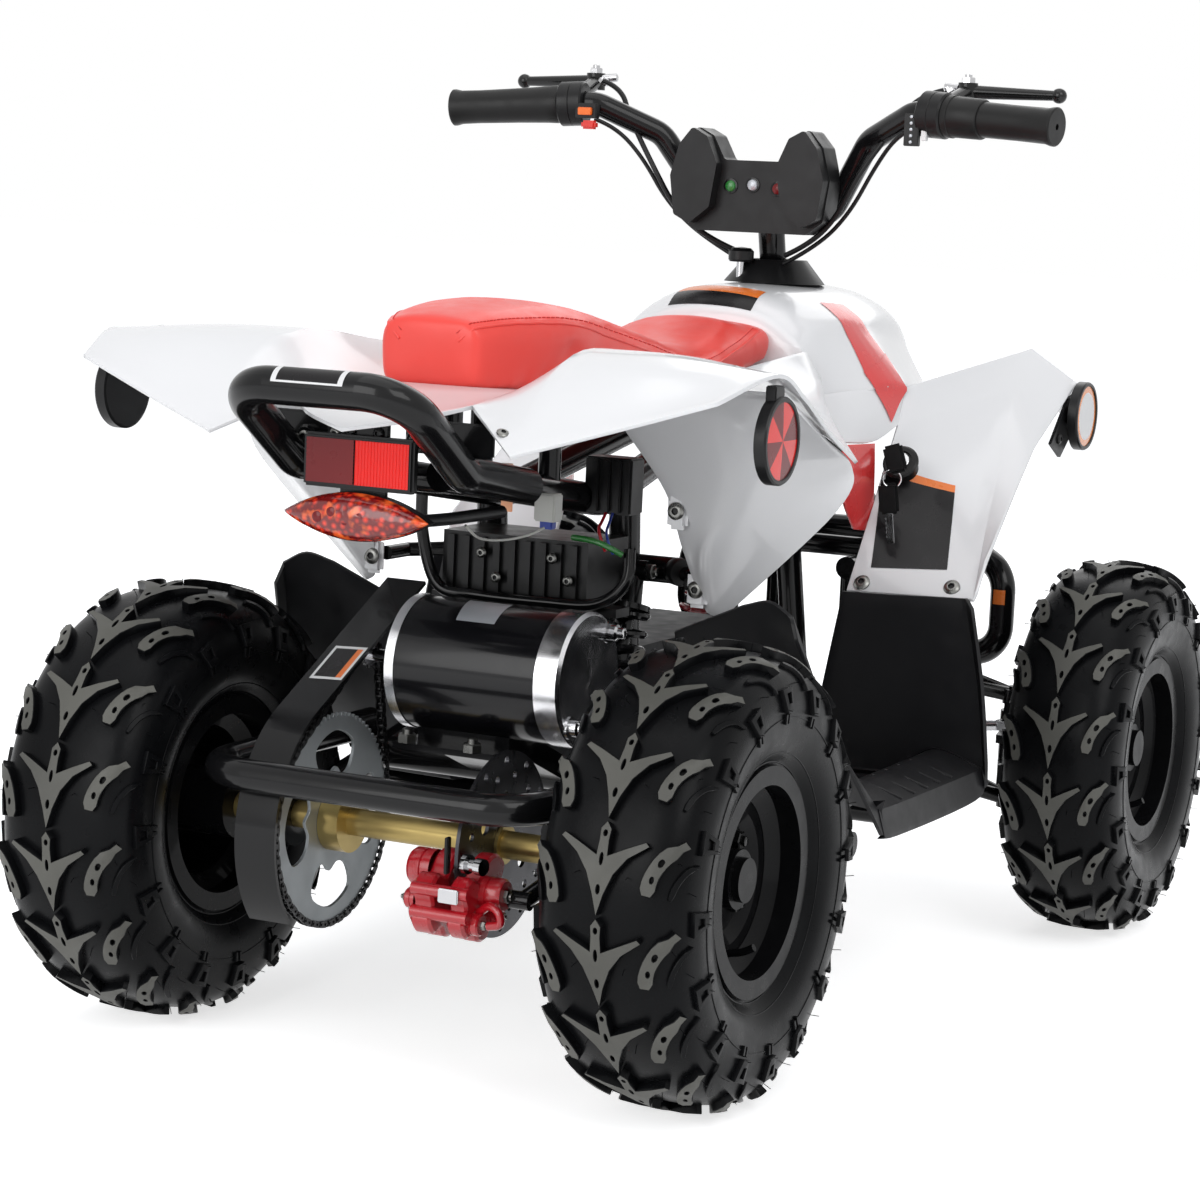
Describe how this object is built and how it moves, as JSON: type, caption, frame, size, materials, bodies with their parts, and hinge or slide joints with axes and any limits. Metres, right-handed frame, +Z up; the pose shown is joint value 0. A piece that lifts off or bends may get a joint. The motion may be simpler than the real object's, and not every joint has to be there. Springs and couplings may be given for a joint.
{
  "type": "quad bike",
  "caption": "Child's electric quad bike with lugged tyres, chain-driven rear axle, swing arm, front wishbones, linked handlebar steering, red saddle and white body panels",
  "frame": {"origin": "on the ground, under the centre of the bounding box", "axes": "+X is the rider's left, the front faces -Y, +Z is up"},
  "size_m": [0.74, 1.1434, 0.794],
  "materials": {
    "white_panel": "glossy moulded body plastic",
    "black_frame": "gloss black powder coat",
    "wheel_black": "semi-gloss black",
    "tyre": "moulded rubber",
    "grip_rubber": "ribbed rubber",
    "seat_vinyl": "red vinyl with a stitched seam",
    "black_plastic": "satin",
    "dash_plastic": "satin",
    "tray_plastic": "textured",
    "black_lever": "satin black",
    "red_caliper": "gloss red",
    "red_spring": "gloss dark red",
    "disc_steel": "ground steel",
    "sprocket_steel": "zinc plated",
    "chain_steel": "oiled steel",
    "gold_axle": "yellow zinc plated",
    "zinc_rod": "zinc plated",
    "motor_black": "gloss black",
    "motor_alloy": "turned",
    "battery_case": "plain",
    "red_lens": "ribbed lens",
    "red_reflector": "prismatic reflector",
    "clear_lens": "clear lens"
  },
  "bodies": {
    "chassis": {"arch_panels": "white_panel", "battery_block": "battery_case", "brake_caliper": "red_caliper", "chain_guard": "black_frame", "column_cover": "black_plastic", "controller_box": "black_plastic", "drive_chain": "chain_steel", "foot_trays": "tray_plastic", "front_arms": "black_frame", "front_bumper": "black_frame", "front_cowl": "white_panel", "front_fenders": "white_panel", "front_shocks": "red_spring", "grab_bar": "black_frame", "headlamps": "clear_lens", "key_switch": "black_plastic", "main_frame": "black_frame", "motor_can": "motor_black", "motor_end_caps": "motor_alloy", "rear_fender": "white_panel", "rear_guard_tube": "black_frame", "rear_reflector": "red_reflector", "rear_shock": "black_frame", "seat": "seat_vinyl", "side_reflectors": "red_reflector", "swing_arm": "black_frame", "tail_lamp": "red_lens"},
    "rear_axle": {"rear_axle_shaft": "gold_axle", "rear_sprocket": "sprocket_steel", "brake_disc": "disc_steel", "rear_tyre_left": "tyre", "rear_tyre_right": "tyre", "rear_rim_left": "wheel_black", "rear_rim_right": "wheel_black", "rear_hub_left": "wheel_black", "rear_hub_right": "wheel_black"},
    "steering": {"steering_column": "black_frame", "handlebar": "black_frame", "grips": "grip_rubber", "switch_pods": "black_plastic", "brake_levers": "black_lever", "dash_pod": "dash_plastic"},
    "knuckle_left": {"knuckle_left": "black_frame"},
    "knuckle_right": {"knuckle_right": "black_frame"},
    "front_wheel_left": {"front_tyre_left": "tyre", "front_rim_left": "wheel_black", "front_hub_left": "wheel_black"},
    "front_wheel_right": {"front_tyre_right": "tyre", "front_rim_right": "wheel_black", "front_hub_right": "wheel_black"},
    "tie_rod_left": {"tie_rod_left": "zinc_rod"},
    "tie_rod_right": {"tie_rod_right": "zinc_rod"}
  },
  "joints": [
    {"name": "rear_axle_spin", "type": "hinge", "parent": "chassis", "child": "rear_axle", "pos_m": [0, 0.37075, 0.1775], "axis": [1, 0, 0], "continuous": true},
    {"name": "steering_turn", "type": "hinge", "parent": "chassis", "child": "steering", "pos_m": [0, -0.23925, 0.69], "axis": [0, 0.2588, 0.9659], "range_deg": [-30, 30]},
    {"name": "knuckle_left_turn", "type": "hinge", "parent": "chassis", "child": "knuckle_left", "pos_m": [0.222, -0.39425, 0.165], "axis": [0, 0, 1], "range_deg": [-30, 30]},
    {"name": "knuckle_right_turn", "type": "hinge", "parent": "chassis", "child": "knuckle_right", "pos_m": [-0.222, -0.39425, 0.165], "axis": [0, 0, 1], "range_deg": [-30, 30]},
    {"name": "front_wheel_left_spin", "type": "hinge", "parent": "knuckle_left", "child": "front_wheel_left", "pos_m": [0.314, -0.39425, 0.1775], "axis": [1, 0, 0], "continuous": true},
    {"name": "front_wheel_right_spin", "type": "hinge", "parent": "knuckle_right", "child": "front_wheel_right", "pos_m": [-0.314, -0.39425, 0.1775], "axis": [1, 0, 0], "continuous": true},
    {"name": "tie_rod_left_turn", "type": "hinge", "parent": "steering", "child": "tie_rod_left", "pos_m": [0.018, -0.29494, 0.18081], "axis": [0, 0.2588, 0.9659], "range_deg": [-30, 30]},
    {"name": "tie_rod_right_turn", "type": "hinge", "parent": "steering", "child": "tie_rod_right", "pos_m": [-0.018, -0.29494, 0.18081], "axis": [0, 0.2588, 0.9659], "range_deg": [-30, 30]}
  ],
  "couplings": [
    {"joint": "knuckle_left_turn", "follows": "steering_turn", "ratio": 1},
    {"joint": "knuckle_right_turn", "follows": "steering_turn", "ratio": 1},
    {"joint": "tie_rod_left_turn", "follows": "steering_turn", "ratio": -1},
    {"joint": "tie_rod_right_turn", "follows": "steering_turn", "ratio": -1}
  ]
}
